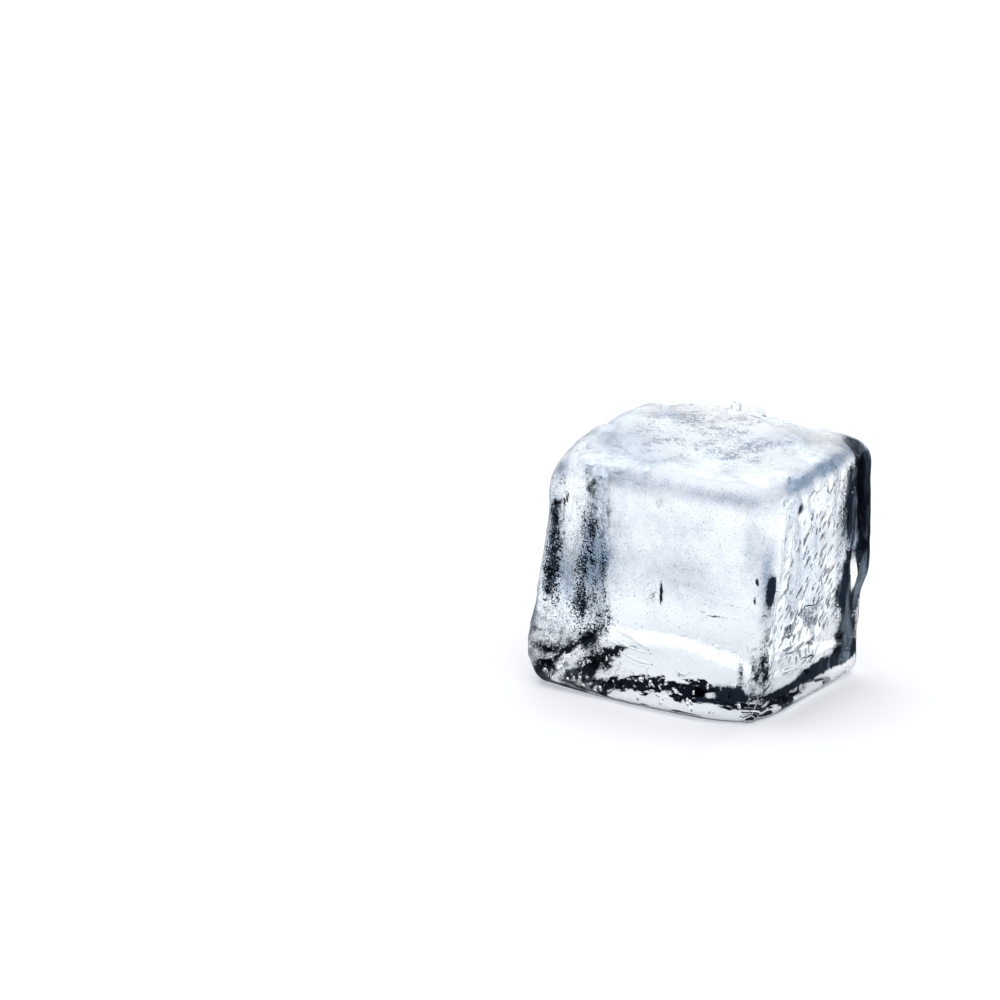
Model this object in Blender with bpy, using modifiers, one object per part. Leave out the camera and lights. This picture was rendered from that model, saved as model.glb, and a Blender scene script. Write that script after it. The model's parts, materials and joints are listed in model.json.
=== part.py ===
# A block of clear ice, part melted: a lopsided cube with soft edges, resting on one flat side.
# Metres, +Z up. The origin is the middle of the flat foot. The broad front faces -Y.

import bpy
import bmesh
import numpy as np
from mathutils import Vector, noise

MM = 0.001

# Driving dimensions
WIDTH = 33.6 * MM  # along X, across the broad front
DEPTH = 25.8 * MM  # along Y
FRONT_HEIGHT = 30.6 * MM
BACK_HEIGHT = 32.6 * MM
TOP_LEAN = 1.2 * MM  # how far the top has crept towards +X over the foot
EDGE_RADIUS = 3.1 * MM  # melted upright and upper edges
FOOT_RADIUS = 1.5 * MM  # the edge round the foot is kept crisper by the cold surface
FOOT_BLEND = 7.0 * MM  # height over which the crisp edge gives way to the melted one
RADIUS_WANDER = 0.7 * MM  # the radius grows and shrinks along an edge by this much
WANDER_SIZE = 9.0 * MM

# The mesh: cells along each side of the cube, and how much closer they lie near the edges
CELLS = 28
EDGE_CROWDING = 0.45

# Soft unevenness of the melted skin: size of the waves, and how far they reach
WAVES = (
    (11.0 * MM, 0.42 * MM),
    (5.0 * MM, 0.20 * MM),
)
TOP_WAVE_SIZE = 3.4 * MM  # the frosted top is rougher than the sides
TOP_WAVE_REACH = 0.30 * MM
WANDER_SEED, FIRST_WAVE_SEED, TOP_WAVE_SEED = 1, 2, 5
SEED_STEP = Vector((7.3, 3.1, 5.7))

# Swells and hollows: place, spread each way and rise, in millimetres. A negative rise is a hollow.
SWELLS = {
    "left_foot_front": ((-16.5, -12.0, 4.6), (5.0, 6.5, 4.4), 1.25),
    "left_low_front": ((-16.5, -12.0, 10.5), (4.5, 6.0, 6.5), 0.95),
    "left_foot_back": ((-16.5, 2.0, 5.5), (4.0, 9.0, 5.0), 0.90),
    "left_upper_bead": ((-16.5, -12.5, 25.6), (2.6, 3.0, 1.9), 0.35),
    "front_belly": ((3.0, -13.0, 17.0), (9.5, 3.0, 9.0), -0.45),
    "front_low_left": ((-9.0, -13.0, 4.0), (5.0, 4.0, 3.2), 0.55),
    "front_low_middle": ((4.0, -13.0, 3.2), (6.0, 4.0, 2.4), 0.45),
    "front_drop_pit": ((0.1, -13.0, 15.0), (0.9, 3.0, 2.1), -0.75),
    "front_high_pit": ((0.8, -13.0, 27.4), (1.0, 3.0, 1.3), -0.45),
    "near_edge_slot": ((17.2, -13.0, 18.6), (1.3, 1.6, 3.0), -0.70),
    "near_corner_drip": ((15.8, -12.5, 26.2), (1.7, 1.7, 2.1), 0.55),
    "near_corner_side_drip": ((17.3, -10.8, 26.4), (1.4, 1.3, 2.0), 0.45),
    "right_low_pit": ((17.0, -5.2, 26.2), (2.0, 1.2, 2.2), -0.75),
    "right_high_pit": ((17.0, -2.0, 26.9), (2.0, 1.2, 1.6), -0.65),
    "right_drop": ((17.0, 1.6, 28.0), (2.0, 1.1, 1.9), 0.40),
    "right_low_hollow": ((17.0, -2.0, 13.0), (2.0, 7.0, 7.0), -0.35),
    "right_far_bead": ((17.0, 5.8, 9.6), (2.0, 1.1, 1.0), 0.50),
    "back_hollow": ((-4.0, 13.0, 18.0), (8.0, 3.0, 8.0), -0.55),
    "back_low_swell": ((6.0, 13.0, 4.5), (7.0, 3.0, 3.5), 0.65),
    "back_drop_pit": ((7.5, 13.0, 22.0), (1.1, 3.0, 2.3), -0.65),
    "back_small_pit": ((-9.5, 13.0, 10.5), (1.3, 3.0, 1.6), -0.55),
    "left_drop_pit": ((-17.0, 5.0, 20.5), (3.0, 1.1, 2.4), -0.65),
    "left_side_hollow": ((-17.0, 0.0, 15.0), (3.0, 7.0, 7.0), -0.35),
    "top_crown": ((1.0, 2.0, 32.0), (12.0, 9.0, 4.0), 0.45),
    "top_front_dip": ((-6.0, -6.0, 31.0), (5.0, 3.0, 3.0), -0.40),
    "top_back_ridge": ((-1.5, 9.0, 32.5), (5.0, 2.6, 3.0), 0.35),
    "top_far_rim": ((9.2, 11.0, 33.0), (2.2, 1.2, 3.0), 0.45),
    "right_far_foot": ((17.0, 12.0, 6.0), (5.0, 5.0, 7.0), 0.75),
}

# Corners and edges that melted away faster or were left standing, foot and all:
# place, spread each way and move, in millimetres
MOVES = {
    "near_foot_corner": ((17.0, -13.0, 0.0), (5.5, 5.0, 6.0), (-2.0, 1.7, 0.0)),
    "right_foot_edge": ((17.0, -3.0, 0.0), (4.0, 7.0, 6.0), (-0.6, 0.0, 0.0)),
    "front_foot_edge": ((-3.0, -13.0, 0.0), (14.0, 4.0, 5.0), (0.0, -1.3, 0.0)),
    "left_top_corner": ((-17.0, -13.0, 31.0), (4.0, 4.0, 4.0), (0.7, 0.5, -0.7)),
    "left_foot_corner": ((-17.0, -13.0, 0.0), (4.0, 4.0, 3.4), (0.9, 0.3, 0.0)),
    "back_top_corner": ((-16.0, 13.0, 33.0), (3.5, 5.0, 4.0), (0.3, -0.3, -1.3)),
    "back_top_edge": ((-9.0, 12.0, 33.0), (3.8, 4.0, 4.0), (0.0, 0.0, 0.45)),
    "far_top_corner": ((17.0, 13.0, 33.0), (5.5, 5.5, 3.6), (-1.1, -0.7, -1.4)),
}

# Runnels worn by meltwater, upright and wandering:
# place, half width, half height, depth and sway, in millimetres
RUNNELS = {
    "front_left": ((-12.6, -13.0, 19.0), 1.3, 10.5, 0.50, 0.5),
    "front_right": ((13.6, -13.0, 14.0), 1.1, 10.0, 0.35, 0.4),
    "right_near": ((17.0, -9.6, 15.0), 1.0, 10.5, 0.40, 0.3),
    "right_far": ((17.0, 8.2, 19.0), 1.3, 8.0, 0.45, 0.4),
    "back_left": ((-11.5, 13.0, 17.0), 1.4, 10.0, 0.50, 0.6),
    "back_right": ((11.5, 13.0, 15.0), 1.2, 9.0, 0.45, 0.5),
    "left_near": ((-17.0, -6.0, 16.0), 1.2, 9.0, 0.40, 0.4),
}
SWAY_PITCH = 17.0  # one full wander of a runnel, in millimetres
RUNNEL_REACH_IN = 3.0  # how far in from its face a runnel still works, in millimetres

# Ledges, where a refrozen sheet of melt ends above a barer stretch: place over the foot, spread each way,
# height at which it ends, height over which it grows to its thickness, and that thickness, in millimetres
LEDGES = {
    "right_far_curtain": ((17.5, 12.0), (4.5, 5.5), 9.8, 4.6, 1.20),
    "left_near_curtain": ((-17.0, -4.0), (4.0, 5.0), 21.5, 2.5, 0.45),
    "back_curtain": ((-2.0, 13.5), (6.5, 4.0), 24.0, 2.6, 0.55),
}

# Ridges across the foot of the right side: place, reach along and up, pitch and height, in millimetres
RIDGE_PLACE = (17.0, -2.5, 6.6)
RIDGE_REACH = (2.5, 9.0, 3.2)
RIDGE_PITCH = 2.7
RIDGE_HEIGHT = 0.20
RIDGE_CLIMB = -0.12  # how much a row rises for each millimetre towards the back

# Splinters of ice frozen to the back of the top:
# place on the top and size in millimetres, and turns about X, Y and Z in degrees
SPLINTERS = {
    "wide_splinter": ((2.4, 10.4), (2.5, 1.7, 2.4), (12, -9, 24)),
    "tall_splinter": ((-0.7, 10.3), (1.5, 1.3, 2.6), (-8, 7, -18)),
}
SPLINTER_CENTRE_HEIGHT = 32.9 * MM  # sunk half into the top, so that it is one with the block
SPLINTER_BEVEL = 0.25 * MM
SPLINTER_TAPER = 0.25  # share of its width that a splinter loses towards its tip


def clear_scene():
    for obj in list(bpy.data.objects):
        bpy.data.objects.remove(obj, do_unlink=True)


def make_collection(name):
    collection = bpy.data.collections.new(name)
    bpy.context.scene.collection.children.link(collection)
    return collection


def make_ice_material():
    material = bpy.data.materials.new("clear_ice")
    material.use_nodes = True
    shader = material.node_tree.nodes["Principled BSDF"]
    shader.inputs["Base Color"].default_value = (0.93, 0.965, 1.0, 1.0)
    shader.inputs["Roughness"].default_value = 0.06
    shader.inputs["Metallic"].default_value = 0.0
    shader.inputs["Transmission Weight"].default_value = 1.0
    shader.inputs["IOR"].default_value = 1.31
    return material


def smooth_step(low, high, value):
    share = np.clip((value - low) / (high - low), 0.0, 1.0)
    return share * share * (3.0 - 2.0 * share)


def wave(points, size, seed):
    """Smooth noise from -1 to 1 at each point, with bumps about as wide as size."""
    return np.array([noise.noise(Vector(point) / size + seed * SEED_STEP) for point in points])


def rounded_block(cube):
    """Moves points of a cube of side 2 to a box with soft edges. Also gives the way each point faces."""
    spread = (1 - EDGE_CROWDING) * cube + EDGE_CROWDING * cube * (3 - cube**2) / 2
    low = np.array([-WIDTH / 2, -DEPTH / 2, 0.0])
    high = np.array([WIDTH / 2, DEPTH / 2, FRONT_HEIGHT])
    box = low + (spread + 1) / 2 * (high - low)
    above_foot = smooth_step(0.0, FOOT_BLEND, box[:, 2])
    full_radius = EDGE_RADIUS + RADIUS_WANDER * wave(box, WANDER_SIZE, WANDER_SEED)
    radius = (FOOT_RADIUS + (full_radius - FOOT_RADIUS) * above_foot)[:, None]
    core = np.clip(box, low + radius, high - radius)
    facing = box - core
    facing /= np.linalg.norm(facing, axis=1)[:, None]
    return core + facing * radius, facing


def nearness(points, place, spread):
    """1 at a place, fading to 0 over a spread that is given along each axis, both in millimetres."""
    away = (points - np.array(place) * MM) / (np.array(spread) * MM)
    return np.exp(-(away**2).sum(axis=1))


def runnel(points, place, half_width, half_height, depth, sway):
    """A groove down the face that it lies on: it wanders sideways with height."""
    swayed = np.array(points)
    shift = sway * MM * np.sin(2 * np.pi * points[:, 2] / (SWAY_PITCH * MM))
    on_front_or_back = abs(place[1]) * MM > DEPTH / 2
    swayed[:, 0 if on_front_or_back else 1] -= shift
    spread = [RUNNEL_REACH_IN, half_width, half_height]
    if on_front_or_back:
        spread = [half_width, RUNNEL_REACH_IN, half_height]
    return -depth * MM * nearness(swayed, place, spread)


def ledge(points, place, spread, ends_at, fade, thickness):
    """A thicker sheet over a corner or a side, which stops short of the foot."""
    over = nearness(points[:, :2], place, spread)
    return thickness * MM * over * smooth_step(ends_at * MM, (ends_at + fade) * MM, points[:, 2])


def ridges(points):
    """Low rows across the face, which climb a little towards the back."""
    rows = np.sin(2 * np.pi * (points[:, 2] - RIDGE_CLIMB * points[:, 1]) / (RIDGE_PITCH * MM))
    return RIDGE_HEIGHT * MM * rows * nearness(points, RIDGE_PLACE, RIDGE_REACH)


def melt_relief(points, facing):
    """How far the melted skin stands out from the plain rounded block at each point."""
    faces_up = smooth_step(0.5, 0.9, facing[:, 2])
    rise = TOP_WAVE_REACH * wave(points, TOP_WAVE_SIZE, TOP_WAVE_SEED) * faces_up
    for seed, (size, reach) in enumerate(WAVES, FIRST_WAVE_SEED):
        rise += reach * wave(points, size, seed)
    for place, spread, height in SWELLS.values():
        rise += height * MM * nearness(points, place, spread)
    for values in RUNNELS.values():
        rise += runnel(points, *values)
    for values in LEDGES.values():
        rise += ledge(points, *values)
    rise += ridges(points)
    faces_down = smooth_step(0.0, 0.9, -facing[:, 2])
    return rise * (1 - faces_down)


def melted_block(cube):
    """The finished skin: rounded, swollen and worn, then leant and sloped, and flat underneath."""
    rounded, facing = rounded_block(cube)
    points = rounded + facing * melt_relief(rounded, facing)[:, None]
    for place, spread, move in MOVES.values():
        points += np.outer(nearness(rounded, place, spread), move) * MM
    height_share = points[:, 2] / FRONT_HEIGHT
    back_share = points[:, 1] / DEPTH + 0.5
    points[:, 0] += TOP_LEAN * height_share
    points[:, 2] += (BACK_HEIGHT - FRONT_HEIGHT) * height_share * back_share
    points[:, 2] = np.maximum(points[:, 2], 0.0)
    middle = (points[:, :2].min(axis=0) + points[:, :2].max(axis=0)) / 2
    points[:, :2] -= middle
    return points


def make_block(collection, material):
    bpy.ops.mesh.primitive_cube_add(size=2)
    block = bpy.context.object
    block.name = block.data.name = "ice_block"
    mesh = bmesh.new()
    mesh.from_mesh(block.data)
    bmesh.ops.subdivide_edges(mesh, edges=mesh.edges, cuts=CELLS - 1, use_grid_fill=True)
    cube = np.array([vertex.co for vertex in mesh.verts])
    for vertex, place in zip(mesh.verts, melted_block(cube)):
        vertex.co = place
    mesh.to_mesh(block.data)
    mesh.free()
    block.data.shade_smooth()
    block.data.materials.append(material)
    for holder in list(block.users_collection):
        holder.objects.unlink(block)
    collection.objects.link(block)
    return block


def make_splinter(name, place, size, turns, collection):
    """A flat-sided chip, which only serves to be joined to the block."""
    bpy.ops.mesh.primitive_cube_add(size=1)
    splinter = bpy.context.object
    splinter.name = name
    splinter.data.transform(splinter.matrix_world)
    for vertex in splinter.data.vertices:
        vertex.co = Vector([side * MM * part for side, part in zip(size, vertex.co)])
        if vertex.co.z > 0:
            vertex.co.x *= 1 - SPLINTER_TAPER
    splinter.rotation_euler = [np.radians(turn) for turn in turns]
    splinter.location = (place[0] * MM, place[1] * MM, SPLINTER_CENTRE_HEIGHT)
    bevel = splinter.modifiers.new("worn_edges", "BEVEL")
    bevel.width = SPLINTER_BEVEL
    bevel.segments = 1
    splinter.hide_render = True
    splinter.display_type = "WIRE"
    for holder in list(splinter.users_collection):
        holder.objects.unlink(splinter)
    collection.objects.link(splinter)
    return splinter


def freeze_on(block, splinter):
    join = block.modifiers.new("join_" + splinter.name, "BOOLEAN")
    join.operation = "UNION"
    join.solver = "EXACT"
    join.object = splinter


def main():
    clear_scene()
    part = make_collection("ice_block_part")
    joined = make_collection("joined_shapes")
    block = make_block(part, make_ice_material())
    for name, (place, size, turns) in SPLINTERS.items():
        freeze_on(block, make_splinter(name, place, size, turns, joined))


main()
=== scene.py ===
# A block of clear ice, part melted, on a plain pale floor in a light tent.
import json
import math

import bmesh
import bpy
import numpy as np
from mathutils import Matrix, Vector, noise
from mathutils.bvhtree import BVHTree

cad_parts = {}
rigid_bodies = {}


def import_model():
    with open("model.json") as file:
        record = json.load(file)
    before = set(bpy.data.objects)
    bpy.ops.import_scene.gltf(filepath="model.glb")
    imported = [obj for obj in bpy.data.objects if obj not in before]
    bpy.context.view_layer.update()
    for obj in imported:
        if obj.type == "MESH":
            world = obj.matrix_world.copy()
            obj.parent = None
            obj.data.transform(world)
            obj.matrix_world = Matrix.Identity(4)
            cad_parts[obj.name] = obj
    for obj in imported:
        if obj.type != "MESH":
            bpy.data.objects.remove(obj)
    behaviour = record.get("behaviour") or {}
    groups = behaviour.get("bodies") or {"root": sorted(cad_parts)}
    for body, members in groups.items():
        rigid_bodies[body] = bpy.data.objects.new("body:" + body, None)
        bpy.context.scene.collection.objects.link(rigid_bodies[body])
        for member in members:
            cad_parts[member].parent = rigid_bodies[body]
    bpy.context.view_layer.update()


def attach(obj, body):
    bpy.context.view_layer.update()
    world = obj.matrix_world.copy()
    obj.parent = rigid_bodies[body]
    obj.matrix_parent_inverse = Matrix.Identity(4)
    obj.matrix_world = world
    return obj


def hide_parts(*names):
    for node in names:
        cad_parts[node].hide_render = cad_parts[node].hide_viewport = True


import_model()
print("stage 1: frame loaded")

mm = 0.001

for obj in list(bpy.data.objects):
    if obj.type in ("LIGHT", "CAMERA"):
        bpy.data.objects.remove(obj, do_unlink=True)


# Small helpers

def smoothStep(low, high, value):
    share = np.clip((value - low) / (high - low), 0.0, 1.0)
    return share * share * (3.0 - 2.0 * share)


seedStep = Vector((7.3, 3.1, 5.7))


def wave(points, size, seed):
    # smooth noise from -1 to 1 at each point, with bumps about as wide as size
    offset = seed * seedStep
    return np.array([noise.noise(Vector(point) / size + offset) for point in points])


def nearness(points, place, spread):
    # 1 at a place, fading to 0 over a spread along each axis, both in millimetres
    away = (points - np.array(place) * mm) / (np.array(spread) * mm)
    return np.exp(-(away**2).sum(axis=1))


# The block's form: the same melted form as the solid, on a much finer mesh

iceForm = {
    "width": 33.6 * mm,
    "depth": 25.8 * mm,
    "frontHeight": 30.6 * mm,
    "backHeight": 32.6 * mm,
    "topLean": 1.2 * mm,
    "edgeRadius": 3.1 * mm,
    "footRadius": 1.5 * mm,
    "footBlend": 7.0 * mm,
    "radiusWander": 0.7 * mm,
    "wanderSize": 9.0 * mm,
    "wanderSeed": 1,
    "cells": 126,
    "edgeCrowding": 0.45,
    "waves": ((11.0 * mm, 0.42 * mm), (5.0 * mm, 0.20 * mm)),
    "firstWaveSeed": 2,
    "topFacing": (0.5, 0.9),
    "underFacing": (0.0, 0.9),
    "topWaveSize": 3.4 * mm,
    "topWaveReach": 0.30 * mm,
    "topWaveSeed": 5,
}

# Swells and hollows: place, spread each way and rise, in millimetres
swells = {
    "leftFootFront": ((-16.5, -12.0, 4.6), (5.0, 6.5, 4.4), 1.25),
    "leftLowFront": ((-16.5, -12.0, 10.5), (4.5, 6.0, 6.5), 0.95),
    "leftFootBack": ((-16.5, 2.0, 5.5), (4.0, 9.0, 5.0), 0.90),
    "leftUpperBead": ((-16.5, -12.5, 25.6), (2.6, 3.0, 1.9), 0.35),
    "frontBelly": ((3.0, -13.0, 17.0), (9.5, 3.0, 9.0), -0.45),
    "frontLowLeft": ((-9.0, -13.0, 4.0), (5.0, 4.0, 3.2), 0.55),
    "frontLowMiddle": ((4.0, -13.0, 3.2), (6.0, 4.0, 2.4), 0.45),
    "frontDropPit": ((0.1, -13.0, 15.0), (0.9, 3.0, 2.1), -0.75),
    "frontHighPit": ((0.8, -13.0, 27.4), (1.0, 3.0, 1.3), -0.45),
    "nearEdgeSlot": ((17.2, -13.0, 18.6), (1.3, 1.6, 3.0), -0.70),
    "nearCornerDrip": ((15.8, -12.5, 26.2), (1.7, 1.7, 2.1), 0.55),
    "nearCornerSideDrip": ((17.3, -10.8, 26.4), (1.4, 1.3, 2.0), 0.45),
    "rightLowPit": ((17.0, -5.2, 26.2), (2.0, 1.2, 2.2), -0.75),
    "rightHighPit": ((17.0, -2.0, 26.9), (2.0, 1.2, 1.6), -0.65),
    "rightDrop": ((17.0, 1.6, 28.0), (2.0, 1.1, 1.9), 0.40),
    "rightLowHollow": ((17.0, -2.0, 13.0), (2.0, 7.0, 7.0), -0.35),
    "rightFarBead": ((17.0, 5.8, 9.6), (2.0, 1.1, 1.0), 0.50),
    "backHollow": ((-4.0, 13.0, 18.0), (8.0, 3.0, 8.0), -0.55),
    "backLowSwell": ((6.0, 13.0, 4.5), (7.0, 3.0, 3.5), 0.65),
    "backDropPit": ((7.5, 13.0, 22.0), (1.1, 3.0, 2.3), -0.65),
    "backSmallPit": ((-9.5, 13.0, 10.5), (1.3, 3.0, 1.6), -0.55),
    "leftDropPit": ((-17.0, 5.0, 20.5), (3.0, 1.1, 2.4), -0.65),
    "leftSideHollow": ((-17.0, 0.0, 15.0), (3.0, 7.0, 7.0), -0.35),
    "topCrown": ((1.0, 2.0, 32.0), (12.0, 9.0, 4.0), 0.45),
    "topFrontDip": ((-6.0, -6.0, 31.0), (5.0, 3.0, 3.0), -0.40),
    "topBackRidge": ((-1.5, 9.0, 32.5), (5.0, 2.6, 3.0), 0.35),
    "topFarRim": ((9.2, 11.0, 33.0), (2.2, 1.2, 3.0), 0.45),
    "rightFarFoot": ((17.0, 12.0, 6.0), (5.0, 5.0, 7.0), 0.75),
}

# Corners and edges that melted away faster or were left standing: place, spread each way and move
moves = {
    "nearFootCorner": ((17.0, -13.0, 0.0), (5.5, 5.0, 6.0), (-2.0, 1.7, 0.0)),
    "rightFootEdge": ((17.0, -3.0, 0.0), (4.0, 7.0, 6.0), (-0.6, 0.0, 0.0)),
    "frontFootEdge": ((-3.0, -13.0, 0.0), (14.0, 4.0, 5.0), (0.0, -1.3, 0.0)),
    "leftTopCorner": ((-17.0, -13.0, 31.0), (4.0, 4.0, 4.0), (0.7, 0.5, -0.7)),
    "leftFootCorner": ((-17.0, -13.0, 0.0), (4.0, 4.0, 3.4), (0.9, 0.3, 0.0)),
    "backTopCorner": ((-16.0, 13.0, 33.0), (3.5, 5.0, 4.0), (0.3, -0.3, -1.3)),
    "backTopEdge": ((-9.0, 12.0, 33.0), (3.8, 4.0, 4.0), (0.0, 0.0, 0.45)),
    "farTopCorner": ((17.0, 13.0, 33.0), (5.5, 5.5, 3.6), (-1.1, -0.7, -1.4)),
}

# Runnels worn by meltwater: place, half width, half height, depth and sway, in millimetres
runnels = {
    "frontLeft": ((-12.6, -13.0, 19.0), 1.3, 10.5, 0.50, 0.5),
    "frontRight": ((13.6, -13.0, 14.0), 1.1, 10.0, 0.35, 0.4),
    "rightNear": ((17.0, -9.6, 15.0), 1.0, 10.5, 0.40, 0.3),
    "rightFar": ((17.0, 8.2, 19.0), 1.3, 8.0, 0.45, 0.4),
    "backLeft": ((-11.5, 13.0, 17.0), 1.4, 10.0, 0.50, 0.6),
    "backRight": ((11.5, 13.0, 15.0), 1.2, 9.0, 0.45, 0.5),
    "leftNear": ((-17.0, -6.0, 16.0), 1.2, 9.0, 0.40, 0.4),
}
runnelShape = {"swayPitch": 17.0 * mm, "reachIn": 3.0}

# Ledges of refrozen melt: place, spread, height of the lower end, height to grow over and thickness
ledges = {
    "rightFarCurtain": ((17.5, 12.0), (4.5, 5.5), 9.8, 4.6, 1.20),
    "leftNearCurtain": ((-17.0, -4.0), (4.0, 5.0), 21.5, 2.5, 0.45),
    "backCurtain": ((-2.0, 13.5), (6.5, 4.0), 24.0, 2.6, 0.55),
}

sideRidges = {
    "place": (17.0, -2.5, 6.6),
    "reach": (2.5, 9.0, 3.2),
    "pitch": 2.7 * mm,
    "height": 0.20 * mm,
    "climb": -0.12,
}


def roundedBlock(cube):
    # points of a cube of side 2 moved to a box with soft edges, and the way each one faces
    form = iceForm
    crowding = form["edgeCrowding"]
    spread = (1 - crowding) * cube + crowding * cube * (3 - cube**2) / 2
    low = np.array([-form["width"] / 2, -form["depth"] / 2, 0.0])
    high = np.array([form["width"] / 2, form["depth"] / 2, form["frontHeight"]])
    box = low + (spread + 1) / 2 * (high - low)
    aboveFoot = smoothStep(0.0, form["footBlend"], box[:, 2])
    fullRadius = form["edgeRadius"] + form["radiusWander"] * wave(box, form["wanderSize"], form["wanderSeed"])
    radius = (form["footRadius"] + (fullRadius - form["footRadius"]) * aboveFoot)[:, None]
    core = np.clip(box, low + radius, high - radius)
    facing = box - core
    facing /= np.linalg.norm(facing, axis=1)[:, None]
    return core + facing * radius, facing


def runnelRise(points, place, halfWidth, halfHeight, depth, sway):
    swayed = np.array(points)
    shift = sway * mm * np.sin(2 * np.pi * points[:, 2] / runnelShape["swayPitch"])
    onFrontOrBack = abs(place[1]) * mm > iceForm["depth"] / 2
    swayed[:, 0 if onFrontOrBack else 1] -= shift
    spread = [runnelShape["reachIn"], halfWidth, halfHeight]
    if onFrontOrBack:
        spread = [halfWidth, runnelShape["reachIn"], halfHeight]
    return -depth * mm * nearness(swayed, place, spread)


def ledgeRise(points, place, spread, endsAt, growth, thickness):
    over = nearness(points[:, :2], place, spread)
    return thickness * mm * over * smoothStep(endsAt * mm, (endsAt + growth) * mm, points[:, 2])


def ridgeRise(points):
    climbed = points[:, 2] - sideRidges["climb"] * points[:, 1]
    rows = np.sin(2 * np.pi * climbed / sideRidges["pitch"])
    return sideRidges["height"] * rows * nearness(points, sideRidges["place"], sideRidges["reach"])


# Lumps where the ice has gone rough: place, spread each way, lump size and reach, in millimetres
roughPatches = {
    "leftSide": ((-17.0, -6.0, 14.0), (3.5, 6.0, 13.0), 1.5, 0.30),
    "leftSideFar": ((-17.0, 6.0, 12.0), (3.0, 7.0, 11.0), 1.9, 0.16),
    "leftFoot": ((-14.0, -13.0, 3.5), (5.0, 4.5, 3.6), 1.4, 0.26),
    "farEdge": ((14.5, 13.0, 18.0), (3.5, 3.0, 12.0), 1.8, 0.22),
    "top": ((0.0, 1.0, 31.5), (14.0, 10.0, 4.0), 1.1, 0.10),
}
roughPatchSeed = 21
faintestPatch = 0.02


def patchRise(points):
    rise = np.zeros(len(points))
    for seed, (place, spread, size, reach) in enumerate(roughPatches.values(), roughPatchSeed):
        strength = nearness(points, place, spread)
        close = strength > faintestPatch
        rise[close] += reach * mm * strength[close] * wave(points[close], size * mm, seed)
    return rise


def meltRelief(points, facing):
    facesUp = smoothStep(*iceForm["topFacing"], facing[:, 2])
    rise = iceForm["topWaveReach"] * wave(points, iceForm["topWaveSize"], iceForm["topWaveSeed"]) * facesUp
    for seed, (size, reach) in enumerate(iceForm["waves"], iceForm["firstWaveSeed"]):
        rise += reach * wave(points, size, seed)
    for place, spread, height in swells.values():
        rise += height * mm * nearness(points, place, spread)
    for values in runnels.values():
        rise += runnelRise(points, *values)
    for values in ledges.values():
        rise += ledgeRise(points, *values)
    rise += ridgeRise(points)
    rise += patchRise(points)
    facesDown = smoothStep(*iceForm["underFacing"], -facing[:, 2])
    return rise * (1 - facesDown)


def meltedBlock(cube):
    rounded, facing = roundedBlock(cube)
    points = rounded + facing * meltRelief(rounded, facing)[:, None]
    for place, spread, move in moves.values():
        points += np.outer(nearness(rounded, place, spread), move) * mm
    heightShare = points[:, 2] / iceForm["frontHeight"]
    backShare = points[:, 1] / iceForm["depth"] + 0.5
    points[:, 0] += iceForm["topLean"] * heightShare
    points[:, 2] += (iceForm["backHeight"] - iceForm["frontHeight"]) * heightShare * backShare
    points[:, 2] = np.maximum(points[:, 2], 0.0)
    middle = (points[:, :2].min(axis=0) + points[:, :2].max(axis=0)) / 2
    points[:, :2] -= middle
    return points


# Where each finish and each painted shade lies: place and spread, in millimetres, and how strong it is there
frostPlaces = [((0.0, 1.0, 31.0), (13.5, 9.5, 4.5), 1.6)]
hazePlaces = [
    ((-11.0, -13.0, 16.0), (5.2, 3.5, 13.0), 1.0),
    ((-12.0, -13.5, 4.0), (6.5, 4.0, 5.0), 1.1),
    ((-12.1, -12.4, 23.0), (1.1, 3.0, 6.0), -0.95),
    ((17.8, 8.5, 29.3), (2.0, 2.2, 1.5), 1.0),
    ((17.7, 6.0, 22.0), (2.0, 1.1, 7.0), 0.8),
    ((17.4, 7.6, 9.0), (2.0, 2.6, 4.6), 0.9),
    ((-17.0, -3.0, 13.0), (3.0, 9.0, 11.0), 0.8),
    ((3.0, -12.5, 9.0), (9.0, 3.0, 6.0), 0.22),
]
# Painted near-black shade in short streaks, over shallow pits
streakPlaces = [
    ((17.5, -1.5, 15.5), (3.5, 7.5, 11.0), 1.3),
    ((16.5, -12.0, 5.0), (2.2, 3.0, 8.0), 0.9),
    ((-17.5, 4.0, 15.0), (3.0, 6.0, 9.0), 0.8),
]
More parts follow.
